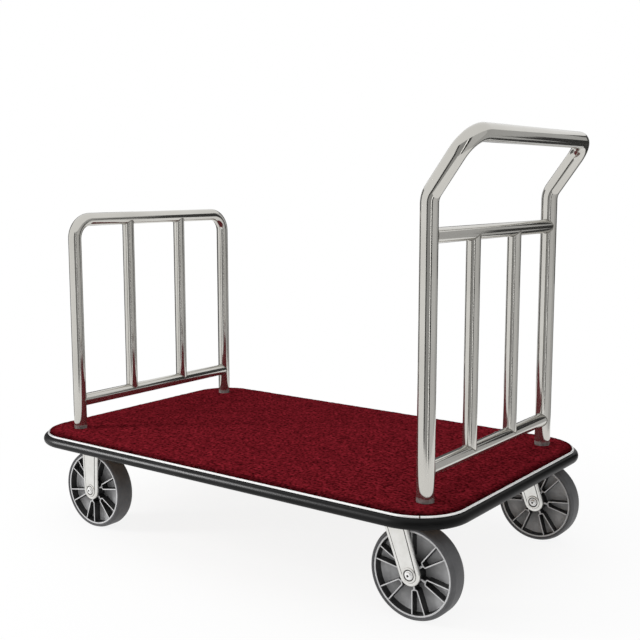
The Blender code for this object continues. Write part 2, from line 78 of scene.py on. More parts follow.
Y, Z = Vector((0, 1, 0)), Vector((0, 0, 1))
SIDES = {"near": -1, "far": 1}

DECK = span("carpet")
CARPET_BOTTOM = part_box("carpet")[0].z
CARPET_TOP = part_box("carpet")[1].z
BOARD_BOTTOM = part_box("deck_board")[0].z
TRIM_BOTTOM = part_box("trim_strip")[0].z
TRIM_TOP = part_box("trim_strip")[1].z
BUMPER_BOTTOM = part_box("bumper")[0].z
BUMPER_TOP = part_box("bumper")[1].z
BUMPER_OUT = (span("bumper").x - DECK.x) / 2
BAND_OUT = (span("edge_band").x - DECK.x) / 2

GUARD_X = middle("guard_lower_tube").x
GUARD_TUBE = span("guard_hoop").x / 2
GUARD_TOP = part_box("guard_hoop")[1].z - GUARD_TUBE
GUARD_LOWER = middle("guard_lower_tube").z
HANDLE_X = middle("handle_lower_tube").x
HANDLE_TUBE = HANDLE_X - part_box("handle_hoop")[0].x
HANDLE_LOWER = middle("handle_lower_tube").z
HANDLE_UPPER = middle("handle_upper_tube").z
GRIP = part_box("handle_hoop")[1] - Vector((HANDLE_TUBE, 0, HANDLE_TUBE))
CROSS_TUBE = span("guard_lower_tube").x / 2
BAR_TUBE = span("guard_bar_near").x / 2
BAR_Y = middle("guard_bar_far").y
POST_Y = middle("guard_far_bolt").y
POST_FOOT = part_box("guard_hoop")[0].z

WHEEL_RADIUS = joint_place("fixed_near_spin").z
TYRE_HALF = span("fixed_near_tyre").y / 2
FORK_HALF = span("swivel_near_fork").y / 2
SWIVEL_CROWN_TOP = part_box("swivel_near_fork")[1].z - WHEEL_RADIUS
PLATE = span("swivel_near_top_plate")
PLATE_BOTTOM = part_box("swivel_near_top_plate")[0].z
RACE_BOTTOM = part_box("swivel_near_swivel_race")[0].z
RACE_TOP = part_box("swivel_near_swivel_race")[1].z
RACE_RADIUS = span("swivel_near_swivel_race").x / 2
KINGPIN_FROM_AXLE = joint_place("swivel_near_turn").x - joint_place("swivel_near_spin").x

# Sizes of what the frame does not give
GAP = 0.0003
DECK_CORNER = 0.095
GUARD_BEND = 0.045
KNEE_BEND = 0.040
KNEE_ABOVE_UPPER_TUBE = 0.070
GRIP_BEND = 0.045
WELD_RADIUS = 0.0011
# Height of the painted reflection and shade of the carpet at the posts' feet
FOOT_REFLECTION_HEIGHT = 0.009

PILE_STEP = 0.0035
PILE_SINK = 0.0004
PILE_EDGE_ROUND = 0.008
PILE_EDGE_DROP = 0.0022
PILE_EDGE_SHADE = 0.016
PILE_CLUMPS = ((0.00045, 70.0), (0.00050, 125.0), (0.00030, 240.0))

TRIM_INSIDE = 0.0004
TRIM_OUTSIDE = 0.0049
TRIM_SINK = 0.0011
TRIM_OUTER_ROUND = 0.0022
TRIM_INNER_ROUND = 0.0014
TRIM_SEAM_STEP = 9
TRIM_SEAM_SHARE = 0.35
BUMPER_SQUARENESS = 0.85
BUMPER_SINK = 0.0009

RIM_RADIUS = 0.0817
RIM_HALF = 0.0200
RIM_INNER = 0.0770
WEB_HALF = 0.0024
HUB_RADIUS = 0.0205
HUB_HALF = 0.0238
HUB_BORE = 0.0085
DRAFT = 0.0012
RIB_PAIRS = 6
RIB_SPREAD = radians(10)
RIB_HALF_THICKNESS = 0.0013
RIB_HALF_DEPTH = 0.0190
RIB_INNER = 0.036
RIB_FOLD_DEPTH = 0.0048
RIB_FOLD_STEPS = 10
RIB_ROUND = 0.0008
RIB_SUNK = 0.002
# Depths of the rim's and ribs' outer faces, which take a painted highlight
RIB_HIGHLIGHT_FROM = 0.0012
RIB_HIGHLIGHT_TO = 0.0004
STEM_HALF_THICKNESS = 0.00208
STEM_SUNK = 0.001
RIB_TURNS = {
    "swivel_near": radians(41), "swivel_far": radians(57),
    "fixed_near": radians(20), "fixed_far": radians(8),
}

LEG_WIDTH = 0.052
LEG_END = 0.022
LEG_SHEET = 0.0022
LEG_FLANGE = 0.0050
LEG_BEND = 0.0035
LEG_GROOVE_INSET = 0.0068
LEG_GROOVE_WIDTH = 0.0016
LEG_GROOVE_SLOPE = 0.0002
LEG_GROOVE_DEPTH = 0.0009
LEG_PANEL_RISE = 0.0005
SWIVEL_LEG_TOP_X = -0.033
CROWN_X = (-0.028, 0.038)
ARCH_DEPTH = 0.012
ARCH_OUTER_BEND = 0.008
ARCH_INNER_BEND = 0.005
PLATE_CORNER = 0.010
PLATE_EDGE = 0.0008
RACE_BORE = 0.012

AXLE_RADIUS = 0.005
AXLE_END = 0.0368
THREAD_TURNS = 8
THREAD_PITCH = 0.001
THREAD_DEPTH = 0.0005
NUT_BORE = AXLE_RADIUS + 0.0001

# Turned profiles of (radius, distance out from the face of a fork's leg)
BOSS = ((0.0108, 0), (0.0111, 0.0013), (0.0119, 0.0017), (0.0133, 0.0016), (0.0142, 0.0010), (0.0146, 0))
AXLE_HEAD = (
    (0.0062, 0.0012), (0.0066, 0.0018), (0.0066, 0.0028), (0.0060, 0.0040),
    (0.0046, 0.0048), (0.0030, 0.0050), (0.0026, 0.0048), (0.0024, 0.0026),
)
# A dark plug of painted shade in the bolt head's socket
HEAD_SOCKET = ((0.0024, 0.0020), (0.0024, 0.0034))
HEAD_WASHER = ((AXLE_RADIUS, 0), (0.0086, 0), (0.0088, 0.0005), (0.0084, 0.0013), (AXLE_RADIUS, 0.0013))
# A thin dark ring of painted shade round the bolt head's washer
RECESS_SHADE_RING = ((0.0084, 0), (0.0109, 0), (0.0109, 0.0003), (0.0084, 0.0003))
NUT_WASHER = ((NUT_BORE, 0), (0.0100, 0), (0.0104, 0.0004), (0.0100, 0.0012), (NUT_BORE, 0.0012))
NUT = (
    (NUT_BORE, 0.0013), (0.0088, 0.0013), (0.0093, 0.0018),
    (0.0093, 0.0055), (0.0084, 0.0064), (NUT_BORE, 0.0064),
)

# Flange bolts, with shares of the head's radius
FLANGE_EDGE = 0.0010
FLANGE_HEIGHT = 0.0022
HEAD_SUNK = 0.0004
HEAD_CHAMFER = 0.0008
SHANK_SUNK = 0.0005
FLANGE_TOP_SHARE = 0.98
FLANGE_INSIDE_SHARE = 0.9
HEAD_END_SHARE = 0.86
PLATE_BOLT_PLACE = Vector((0.031, 0.0305, -0.0001))
PLATE_BOLT_FLANGE = 0.0078
PLATE_BOLT_HEAD = 0.0062
PLATE_BOLT_HEIGHT = 0.0050
PLATE_BOLT_SHANK = 0.0038
POST_BOLT_HEAD = 0.0075
POST_BOLT_SHANK = 0.0045

# Softened edges of the CAD nodes that stay
SOFT_EDGE = 0.0006
SOFT_EDGE_SEGMENTS = 2
SOFT_EDGE_ANGLE = radians(50)

# Camera fitted to the photograph
CAMERA_PLACE = (1.38643, -1.80691, 0.7988)
CAMERA_TURN = (radians(82.24), 0, radians(36.48))
CAMERA_LENS = 57.02
CAMERA_SENSOR = 36.0

# Studio: lamps are (name, place, target, size, watts), and the bumper's lamp lights the bumper alone
WHITE = (1, 1, 1, 1)
FLOOR_HALF = 20
FLOOR_COLOUR = (0.9, 0.9, 0.9, 1)
FLOOR_WHITENESS = 0.86
FLOOR_FADE = (0.3, 1.3)
WORLD_STRENGTH = 0.55
LAMPS = (
    ("key", (-2.2, -1.95, 1.35), (0, 0, 0.3), (0.5, 2.0), 62),
    ("overhead", (0, 0, 3.2), (0, 0, 0), (3.0, 3.0), 26),
    ("fill", (3.2, -1.4, 1.6), (0, 0, 0.3), (2.0, 2.0), 16),
)
BUMPER_LAMP = ("bumper_strip", (-1.68, -1.74, 0.98), (-0.1, -0.36, 0.2), (0.85, 0.9), 119)

# Boards are (first angle, last angle, low, high, brightness), with angles in degrees from +X
BOARD_RADIUS = 1.6
BOARD_STEP = 10
BOARDS = (
    (-75, -64, 0.0, 1.3, 0.02),
    (-64, -36, 0.0, 1.3, 0.36),
    (-36, -33, 0.0, 1.2, 2.2),
    (-33, -23, 0.0, 1.3, 0.02),
    (-23, 20, 0.0, 1.3, 0.66),
    (20, 46, 0.0, 1.3, 0.50),
    (46, 56, 0.0, 0.46, 0.50),
    (46, 56, 0.46, 0.84, 0.02),
    (46, 56, 0.84, 1.3, 0.50),
    (56, 72, 0.0, 1.3, 0.03),
    (72, 98, 0.0, 1.3, 0.66),
    (98, 132, 0.0, 1.3, 0.10),
    (150, 196, 0.0, 1.3, 0.10),
)

# Shape steps
TUBE_SIDES = 48
WELD_SIDES = 8
WHEEL_STEPS = 96
SMALL_STEPS = 32
HEXAGON = 6
CORNER_STEPS = 24
BUMPER_STEPS = 20
FILLET_STEPS = 4
BEND_STEP = radians(4)
SHARP_ANGLE = radians(32)


# Meshes
def running_lengths(points, closed):
    """Lengths from the first point to each point, and back to the first where the line closes."""
    following = points[1:] + points[:1] if closed else points[1:]
    lengths = [0.0]
    for start, end in zip(points, following):
        lengths.append(lengths[-1] + (end - start).length)
    return lengths


def skin(bm, rings, wrap=False, closed=True, finish=0, painted_shade_rows=()):
    """Faces between rings of points, with UVs in metres. wrap joins the last ring to the first.

    The rows that are listed take the finish after this one, which paints shade on them.
    """
    uv_map = bm.loops.layers.uv.verify()
    along = running_lengths([ring[0] for ring in rings], wrap)
    around = running_lengths(rings[0], closed)
    verts = [[bm.verts.new(point) for point in ring] for ring in rings]
    for row in range(len(along) - 1):
        ring, following = verts[row], verts[(row + 1) % len(verts)]
        for column in range(len(around) - 1):
            after = (column + 1) % len(ring)
            face = bm.faces.new((ring[column], ring[after], following[after], following[column]))
            face.material_index = finish + (row in painted_shade_rows)
            corners = ((column, row), (column + 1, row), (column + 1, row + 1), (column, row + 1))
            for loop, (step, part) in zip(face.loops, corners):
                loop[uv_map].uv = (around[step], along[part])
    return verts


def cap(bm, verts, finish=0):
    bm.faces.new(verts).material_index = finish


def closed_skin(bm, rings, finish=0):
    """A solid through rings, with a flat face at each end."""
    verts = skin(bm, rings, finish=finish)
    cap(bm, verts[0], finish)
    cap(bm, verts[-1], finish)


def filleted(corners):
    """Points of a closed outline of (x, y, radius) corners, with an arc where a corner has a radius."""
    points = []
    for index, (x, y, radius) in enumerate(corners):
        here = Vector((x, y))
        if not radius:
            points.append(here)
            continue
        back = (Vector(corners[index - 1][:2]) - here).normalized()
        ahead = (Vector(corners[(index + 1) % len(corners)][:2]) - here).normalized()
        half = back.angle(ahead) / 2
        centre = here + (back + ahead).normalized() * radius / sin(half)
        start = here + back * radius / tan(half) - centre
        end = here + ahead * radius / tan(half) - centre
        first = atan2(start.y, start.x)
        turn = (atan2(end.y, end.x) - first + pi) % (2 * pi) - pi
        for step in range(FILLET_STEPS + 1):
            angle = first + turn * step / FILLET_STEPS
            points.append(centre + radius * Vector((cos(angle), sin(angle))))
    return points


def turned(bm, profile, centre=Vector(), axis="Y", steps=SMALL_STEPS, hollow=False, finish=0):
    """A profile of (radius, distance along the axis) points turned about an axis through centre."""
    rings = []
    for radius, along in profile:
        ring = []
        for step in range(steps):
            angle = 2 * pi * step / steps
            across, up = radius * cos(angle), radius * sin(angle)
            ring.append(centre + Vector((across, along, up) if axis == "Y" else (across, up, along)))
        rings.append(ring)
    if hollow:
        skin(bm, rings, wrap=True, finish=finish)
    else:
        closed_skin(bm, rings, finish)


def mesh_of(name, bm, *finishes):
    bmesh.ops.recalc_face_normals(bm, faces=bm.faces)
    mesh = bpy.data.meshes.new(name)
    bm.to_mesh(mesh)
    bm.free()
    for finish in finishes:
        mesh.materials.append(finish)
    mesh.shade_smooth()
    mesh.set_sharp_from_angle(angle=SHARP_ANGLE)
    return mesh


def piece(name, mesh, body, nodes=(), place=Vector()):
    """An object of that mesh at a place, riding on a body in place of its CAD nodes."""
    made = bpy.data.objects.new(name, mesh)
    bpy.context.scene.collection.objects.link(made)
    made.location = place
    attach(made, body)
    if nodes:
        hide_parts(*nodes)
    return made


# Node materials
def node(tree, kind, inputs=None, **settings):
    """A shader node with its settings, and inputs that are values or other nodes' outputs."""
    made = tree.nodes.new("ShaderNode" + kind)
    for name, value in settings.items():
        setattr(made, name, value)
    for name, value in (inputs or {}).items():
        if isinstance(value, bpy.types.NodeSocket):
            tree.links.new(value, made.inputs[name])
        else:
            made.inputs[name].default_value = value
    return made


def ramp(tree, factor, *stops):
    """Colours blended along a factor; each stop is (position, colour)."""
    made = node(tree, "ValToRGB", {"Fac": factor})
    elements = made.color_ramp.elements
    while len(elements) < len(stops):
        elements.new(1.0)
    for element, (position, colour) in zip(elements, stops):
        element.position = position
        element.color = (*colour, 1)
    return made.outputs["Color"]


def spread(tree, factor, low, high):
    """A factor from 0 to 1 stretched to a range."""
    return node(tree, "MapRange", {"Value": factor, "To Min": low, "To Max": high}).outputs["Result"]


def blend(tree, factor, first, second):
    """Two colours mixed by a factor."""
    made = node(tree, "Mix", data_type="RGBA")
    sources = {"Factor_Float": factor, "A_Color": first, "B_Color": second}
    for socket in made.inputs:
        if socket.identifier in sources:
            tree.links.new(sources[socket.identifier], socket)
    return next(socket for socket in made.outputs if socket.identifier == "Result_Color")


def product(tree, first, second):
    """Two colours or vectors multiplied."""
    return node(tree, "VectorMath", {0: first, 1: second}, operation="MULTIPLY").outputs["Vector"]


def coordinates(tree, source, scale=(1, 1, 1)):
    place = node(tree, "TexCoord").outputs[source]
    return node(tree, "Mapping", {"Vector": place, "Scale": scale}).outputs["Vector"]


def clouds(tree, place, scale, detail=2.0, roughness=0.5):
    inputs = {"Vector": place, "Scale": scale, "Detail": detail, "Roughness": roughness}
    return node(tree, "TexNoise", inputs).outputs["Fac"]


def bump(tree, height, distance, strength):
    inputs = {"Height": height, "Distance": distance, "Strength": strength}
    return node(tree, "Bump", inputs).outputs["Normal"]


def new_finish(name, **values):
    """A node material, its tree and its main shader, with constant values set on the shader's sockets."""
    material = bpy.data.materials.new(name)
    material.use_nodes = True
    tree = material.node_tree
    shader = tree.nodes["Principled BSDF"]
    for socket, value in values.items():
        shader.inputs[socket.replace("_", " ")].default_value = value
    return material, tree, shader


def feed(tree, shader, **sources):
    for socket, source in sources.items():
        tree.links.new(source, shader.inputs[socket.replace("_", " ")])


def mottled_finish(name, patches, dark, pale, roughness, grain, relief, **values):
    """A finish whose colour and roughness change together in patches, with a fine grain in relief."""
    material, tree, shader = new_finish(name, **values)
    place = coordinates(tree, "Object")
    mottle = clouds(tree, place, *patches)
    feed(
        tree, shader,
        Base_Color=ramp(tree, mottle, (0.3, dark), (0.7, pale)),
        Roughness=spread(tree, mottle, *roughness),
        Normal=bump(tree, clouds(tree, place, *grain), *relief),
    )
    return material


def painted_foot_reflection(tree, place):
    """One at the foot of a post, where the carpet's reflection and shade are painted dull and grey, falling
    to zero just above the carpet.
    """
    height = node(tree, "SeparateXYZ", {"Vector": place}).outputs["Z"]
    ragged = spread(tree, clouds(tree, place, 110.0), -0.5 * FOOT_REFLECTION_HEIGHT, 0.5 * FOOT_REFLECTION_HEIGHT)
    level = node(tree, "Math", {0: height, 1: ragged}, operation="ADD").outputs["Value"]
    low, high = CARPET_TOP + 0.4 * FOOT_REFLECTION_HEIGHT, CARPET_TOP + 1.1 * FOOT_REFLECTION_HEIGHT
    inputs = {"Value": level, "From Min": low, "From Max": high, "To Min": 1.0, "To Max": 0.0}
    return node(tree, "MapRange", inputs).outputs["Result"]


def polished_tube():
    """Polished stainless tube with a slight haze, faint lines along its length, and a painted dull grey
    reflection and shade of the carpet at its feet.
    """
    material, tree, shader = new_finish("polished_tube")
    place = coordinates(tree, "Object")
    foot = painted_foot_reflection(tree, place)
    lines = clouds(tree, coordinates(tree, "UV", (900, 9, 1)), 1.0, 3.0, 0.6)
    haze, stains = clouds(tree, place, 7.0), clouds(tree, place, 160.0)
    bright = ramp(tree, haze, (0.3, (0.535, 0.522, 0.485)), (0.7, (0.605, 0.592, 0.555)))
    # painted reflection and shade: dull grey at the posts' feet, standing in for the carpet mirrored there
    dull = ramp(tree, stains, (0.3, (0.15, 0.147, 0.14)), (0.7, (0.32, 0.312, 0.295)))
    feed(
        tree, shader,
        Base_Color=blend(tree, foot, bright, dull),
        Metallic=spread(tree, foot, 0.95, 0.3),
        Roughness=spread(tree, lines, 0.05, 0.13),
        Normal=bump(tree, lines, 0.00002, 0.5),
    )
    return material


def weld_steel():
    """The dull, slightly stained bead where tubes are joined."""
    material, tree, shader = new_finish("weld_steel", Metallic=1.0)
    stains = clouds(tree, coordinates(tree, "Object"), 260.0)
    feed(
        tree, shader,
        Base_Color=ramp(tree, stains, (0.3, (0.20, 0.19, 0.17)), (0.7, (0.38, 0.37, 0.34))),
        Roughness=spread(tree, stains, 0.35, 0.6),
    )
    return material


def bright_trim():
    scuffs = (60.0, 4.0)
    return mottled_finish(
        "bright_trim", patches=scuffs, dark=(0.90, 0.90, 0.89), pale=(0.97, 0.97, 0.96),
        roughness=(0.28, 0.40), grain=scuffs, relief=(0.0001, 0.12), Metallic=0.6,
    )


def plated_steel():
    """Zinc-plated pressed steel with a faint grain."""
    return mottled_finish(
        "zinc_plated", patches=(55.0,), dark=(0.72, 0.71, 0.68), pale=(0.82, 0.815, 0.79),
        roughness=(0.26, 0.40), grain=(900.0, 3.0, 0.7), relief=(0.00008, 0.35), Metallic=1.0,
    )


def painted_groove_shade():
    """Painted shade for the pressed lines of a fork, the ring round an axle bolt's washer and the bolt
    head's socket.
    """
    material, tree, shader = new_finish("painted_groove_shade", Roughness=0.8)
    specks = clouds(tree, coordinates(tree, "Object"), 420.0, 3.0, 0.7)
    colour = ramp(tree, specks, (0.35, (0.020, 0.019, 0.017)), (0.65, (0.16, 0.155, 0.145)))
    feed(tree, shader, Base_Color=colour)
    return material


def black_paint():
    material, tree, shader = new_finish("satin_black_paint")
    place = coordinates(tree, "Object")
    peel = clouds(tree, place, 420.0)
    dust = clouds(tree, place, 9.0, 4.0)
    feed(
        tree, shader,
        Base_Color=ramp(tree, dust, (0.35, (0.018, 0.018, 0.019)), (0.75, (0.045, 0.044, 0.042))),
        Roughness=spread(tree, dust, 0.38, 0.55),
        Normal=bump(tree, peel, 0.0001, 0.3),
    )
    return material


def red_pile():
    """Short cut pile: clumps several millimetres across, with painted shade between them and along the
    carpet's edge beside the trim.
    """
    material, tree, shader = new_finish("red_pile", Roughness=0.95, Specular_IOR_Level=0.0)
    place = coordinates(tree, "Object")
    clumps = clouds(tree, place, 150.0, 3.5, 0.6)
    tufts = clouds(tree, place, 420.0, 2.0, 0.6)
    # painted shade: the clump colours run from nearly black between clumps to pale tips
    between, shaded, tips = (0.028, 0.0019, 0.0024), (0.128, 0.0077, 0.0121), (0.222, 0.0149, 0.0244)
    clumped = ramp(tree, clumps, (0.345, between), (0.50, shaded), (0.67, tips))
    trodden = ramp(tree, clouds(tree, place, 40.0), (0.3, (0.78, 0.78, 0.78)), (0.7, (1.22, 1.22, 1.22)))
    # painted shade: the carpet darkens within a band along its edge by the trim
    edge = node(tree, "Attribute", attribute_name="painted_edge_shade").outputs["Fac"]
    shade = ramp(tree, edge, (0.0, (1.0, 1.0, 1.0)), (1.0, (0.30, 0.30, 0.30)))
    colour = product(tree, product(tree, clumped, trodden), shade)
    feed(tree, shader, Base_Color=colour, Normal=bump(tree, tufts, 0.0012, 0.7))
    return material


def plywood():
    material, tree, shader = new_finish("plywood")
    grain = clouds(tree, coordinates(tree, "Object", (4, 90, 90)), 1.0, 6.0, 0.6)
    feed(
        tree, shader,
        Base_Color=ramp(tree, grain, (0.3, (0.33, 0.20, 0.10)), (0.7, (0.52, 0.36, 0.21))),
        Roughness=spread(tree, grain, 0.55, 0.8),
        Normal=bump(tree, grain, 0.0003, 0.4),
    )
    return material


def bumper_rubber():
    return mottled_finish(
        "bumper_rubber", patches=(14.0, 4.0), dark=(0.0018, 0.0018, 0.0018), pale=(0.0045, 0.0045, 0.0047),
        roughness=(0.30, 0.40), grain=(700.0,), relief=(0.0001, 0.25), Specular_IOR_Level=0.12,
    )


def tyre_rubber():
    return mottled_finish(
        "grey_tyre_rubber", patches=(45.0, 5.0, 0.6),
        dark=(0.062, 0.062, 0.065), pale=(0.090, 0.090, 0.094),
        roughness=(0.45, 0.62), grain=(800.0,), relief=(0.00015, 0.35),
    )


def wheel_plastic():
    """Moulded grey plastic, with painted shade on the walls of the pockets and towards the hub, and painted
    highlights on the outer faces of the rim and ribs.
    """
    material, tree, shader = new_finish("moulded_wheel_plastic")
    place = coordinates(tree, "Object")
    normal = node(tree, "TexCoord").outputs["Normal"]
    sideways = node(tree, "SeparateXYZ", {"Vector": normal}).outputs["Y"]
    flatness = node(tree, "Math", {0: sideways}, operation="ABSOLUTE").outputs["Value"]
    depth = node(tree, "SeparateXYZ", {"Vector": place}).outputs["Y"]
    outward = node(tree, "Math", {0: depth}, operation="ABSOLUTE").outputs["Value"]
    mottle = clouds(tree, place, 70.0, 4.0)
    flat_place = product(tree, place, (1, 0, 1))
    radius = node(tree, "VectorMath", {0: flat_place}, operation="LENGTH").outputs["Value"]
    clean = ramp(tree, mottle, (0.3, (0.41, 0.41, 0.415)), (0.7, (0.53, 0.53, 0.535)))
    # painted highlight: the outer faces of the rim and ribs are made paler
    edge_highlight_colour = ramp(tree, mottle, (0.3, (0.52, 0.52, 0.525)), (0.7, (0.64, 0.64, 0.645)))
    # painted shade: the panels darken towards the hub
    hub_shade = ramp(tree, radius, (HUB_RADIUS, (0.25, 0.25, 0.25)), (0.8 * RIM_RADIUS, (1.0, 1.0, 1.0)))
    panel = product(tree, clean, hub_shade)
    low, high = RIB_HALF_DEPTH - RIB_HIGHLIGHT_FROM, RIB_HALF_DEPTH - RIB_HIGHLIGHT_TO
    edges = node(tree, "MapRange", {"Value": outward, "From Min": low, "From Max": high}).outputs["Result"]
    # painted shade: walls facing across the axle are made nearly black
    shade = ramp(tree, flatness, (0.25, (0.05, 0.05, 0.05)), (0.75, (1.0, 1.0, 1.0)))
    shown = blend(tree, edges, panel, edge_highlight_colour)
    grain = clouds(tree, place, 900.0)
    feed(
        tree, shader,
        Base_Color=product(tree, shown, shade),
        Roughness=spread(tree, mottle, 0.42, 0.58),
        Normal=bump(tree, grain, 0.0001, 0.3),
    )
    return material


TUBE_STEEL = polished_tube()
WELD_STEEL = weld_steel()
TRIM_STEEL = bright_trim()
ZINC = plated_steel()
GROOVE_SHADE = painted_groove_shade()
PAINT = black_paint()
PILE = red_pile()
WOOD = plywood()
BUMPER = bumper_rubber()
TYRE = tyre_rubber()
PLASTIC = wheel_plastic()


# Tubes
def bent_path(corners, bends):
    """An open path through corners, with an arc of the given radius at each inner corner."""
    path = [corners[0]]
    for before, here, after, radius in zip(corners, corners[1:], corners[2:], bends):
        back = (before - here).normalized()
        ahead = (after - here).normalized()
        half = back.angle(ahead) / 2
        centre = here + (back + ahead).normalized() * radius / sin(half)
        start = here + back * radius / tan(half) - centre
        axis = start.cross(-back).normalized()
        turn = pi - 2 * half
        steps = ceil(turn / BEND_STEP)
        for step in range(steps + 1):
            path.append(centre + Matrix.Rotation(turn * step / steps, 3, axis) @ start)
    path.append(corners[-1])
    return path


def circle(centre, side, up, radius, steps):
    angles = (2 * pi * step / steps for step in range(steps))
    return [centre + radius * (cos(angle) * side + sin(angle) * up) for angle in angles]


def bent_tube(bm, path, radius):
    """A round tube along a path, with its sections kept from twisting."""
    rings = []
    side = (path[1] - path[0]).orthogonal()
    for index, point in enumerate(path):
        tangent = (path[min(index + 1, len(path) - 1)] - path[max(index - 1, 0)]).normalized()
        side = (side - tangent * side.dot(tangent)).normalized()
        rings.append(circle(point, side, tangent.cross(side), radius, TUBE_SIDES))
    closed_skin(bm, rings)


def saddle(centre, inward, across, along, radius, mating_radius):
    """The curve where a tube leaving centre along inward meets a round tube whose axis is along."""
    curve = []
    for step in range(TUBE_SIDES):
        angle = 2 * pi * step / TUBE_SIDES
        reach = sqrt(mating_radius ** 2 - (radius * sin(angle)) ** 2)
        curve.append(centre + radius * (cos(angle) * along + sin(angle) * across) + reach * inward)
    return curve


def weld_bead(bm, curve):
    """A thin bead along a closed curve."""
    middle_point = sum(curve, Vector()) / len(curve)
    rings = []
    for index, point in enumerate(curve):
        tangent = (curve[(index + 1) % len(curve)] - curve[index - 1]).normalized()
        out = point - middle_point
        out = (out - tangent * out.dot(tangent)).normalized()
        rings.append(circle(point, out, tangent.cross(out), WELD_RADIUS, WELD_SIDES))
    skin(bm, rings, wrap=True, finish=1)


def welded_tube(node_name, start, end, radius, along, mating_radii):
    """A straight tube between two others, its ends shaped to them and welded."""
    direction = (end - start).normalized()
    across = direction.cross(along)
    first = saddle(start, direction, across, along, radius, mating_radii[0])
    last = saddle(end, -direction, across, along, radius, mating_radii[1])
    bm = bmesh.new()
    closed_skin(bm, [first, last])
    weld_bead(bm, first)
    weld_bead(bm, last)
    mesh = mesh_of(node_name, bm, TUBE_STEEL, WELD_STEEL)
    piece(node_name + "_finished", mesh, "cart", [node_name])


def hoop(node_name, profile, bends, radius):
    """A hoop bent from one tube: up a profile of (x, z) corners on one side, over and down the other."""
    near_side = [Vector((x, -POST_Y, z)) for x, z in profile]
    far_side = [Vector((x, POST_Y, z)) for x, z in reversed(profile)]
    bm = bmesh.new()
    bent_tube(bm, bent_path(near_side + far_side, bends + bends[::-1]), radius)
    piece(node_name + "_finished", mesh_of(node_name, bm, TUBE_STEEL), "cart", [node_name])


def cross_tube(node_name, x, z, post_radius):
    start, end = Vector((x, -POST_Y, z)), Vector((x, POST_Y, z))
    welded_tube(node_name, start, end, CROSS_TUBE, Z, (post_radius, post_radius))


def upright_bars(end, x, bottom, top, top_radius):
    for side, sign in SIDES.items():
        start, stop = Vector((x, sign * BAR_Y, bottom)), Vector((x, sign * BAR_Y, top))
        welded_tube(f"{end}_bar_{side}", start, stop, BAR_TUBE, Y, (CROSS_TUBE, top_radius))


def guard_rail():
    hoop("guard_hoop", [(GUARD_X, POST_FOOT), (GUARD_X, GUARD_TOP)], [GUARD_BEND], GUARD_TUBE)
    cross_tube("guard_lower_tube", GUARD_X, GUARD_LOWER, GUARD_TUBE)
    upright_bars("guard", GUARD_X, GUARD_LOWER, GUARD_TOP, GUARD_TUBE)


def push_handle():
    knee = HANDLE_UPPER + KNEE_ABOVE_UPPER_TUBE
    profile = [(HANDLE_X, POST_FOOT), (HANDLE_X, knee), (GRIP.x, GRIP.z)]
    hoop("handle_hoop", profile, [KNEE_BEND, GRIP_BEND], HANDLE_TUBE)
    cross_tube("handle_lower_tube", HANDLE_X, HANDLE_LOWER, HANDLE_TUBE)
    cross_tube("handle_upper_tube", HANDLE_X, HANDLE_UPPER, HANDLE_TUBE)
    upright_bars("handle", HANDLE_X, HANDLE_LOWER, HANDLE_UPPER, CROSS_TUBE)


# Deck
def past_outline(x, y):
    """How far a point lies outside the deck's rounded outline, negative inside, and the way out."""
    over = Vector((abs(x) - DECK.x / 2 + DECK_CORNER, abs(y) - DECK.y / 2 + DECK_CORNER))
    if min(over) > 0:
        distance, out = over.length, over.normalized()
    elif over.x > over.y:
        distance, out = over.x, Vector((1, 0))
    else:
        distance, out = over.y, Vector((0, 1))
    return distance - DECK_CORNER, Vector((copysign(out.x, x), copysign(out.y, y)))


def past_pile(x, y):
    """How far a point lies outside the carpet, and the way out: over its edge or into a post's hole."""
    farthest = past_outline(x, y)
    for post_x, radius in ((GUARD_X, GUARD_TUBE), (HANDLE_X, HANDLE_TUBE)):
        for sign in SIDES.values():
            to_post = Vector((post_x - x, sign * POST_Y - y))
            distance = radius + GAP - to_post.length
            if distance > farthest[0]:
                farthest = distance, to_post.normalized()
    return farthest


def pile_height(x, y):
    """The top of the pile: clumps of tufts, rounded down at the carpet's edge."""
    height = CARPET_TOP - PILE_SINK
    for number, (size, scale) in enumerate(PILE_CLUMPS):
        height += size * noise.noise(Vector((x * scale, y * scale, number)))
    share = min(1, -past_outline(x, y)[0] / PILE_EDGE_ROUND)
    return height - PILE_EDGE_DROP * (1 - share) ** 2


def pile_grid(bm):
    """Square faces over the deck that stay inside its outline and clear of the posts."""
    columns, rows = ceil(DECK.x / PILE_STEP), ceil(DECK.y / PILE_STEP)
    grid = {}
    for column in range(columns + 1):
        for row in range(rows + 1):
            x = DECK.x * (column / columns - 0.5)
            y = DECK.y * (row / rows - 0.5)
            if past_pile(x, y)[0] < -PILE_STEP / 4:
                grid[column, row] = bm.verts.new((x, y, 0))
    for column, row in grid:
        corners = [(column, row), (column + 1, row), (column + 1, row + 1), (column, row + 1)]
        if all(corner in grid for corner in corners):
            bm.faces.new([grid[corner] for corner in corners])
    bmesh.ops.delete(bm, geom=[vert for vert in bm.verts if not vert.link_faces], context="VERTS")


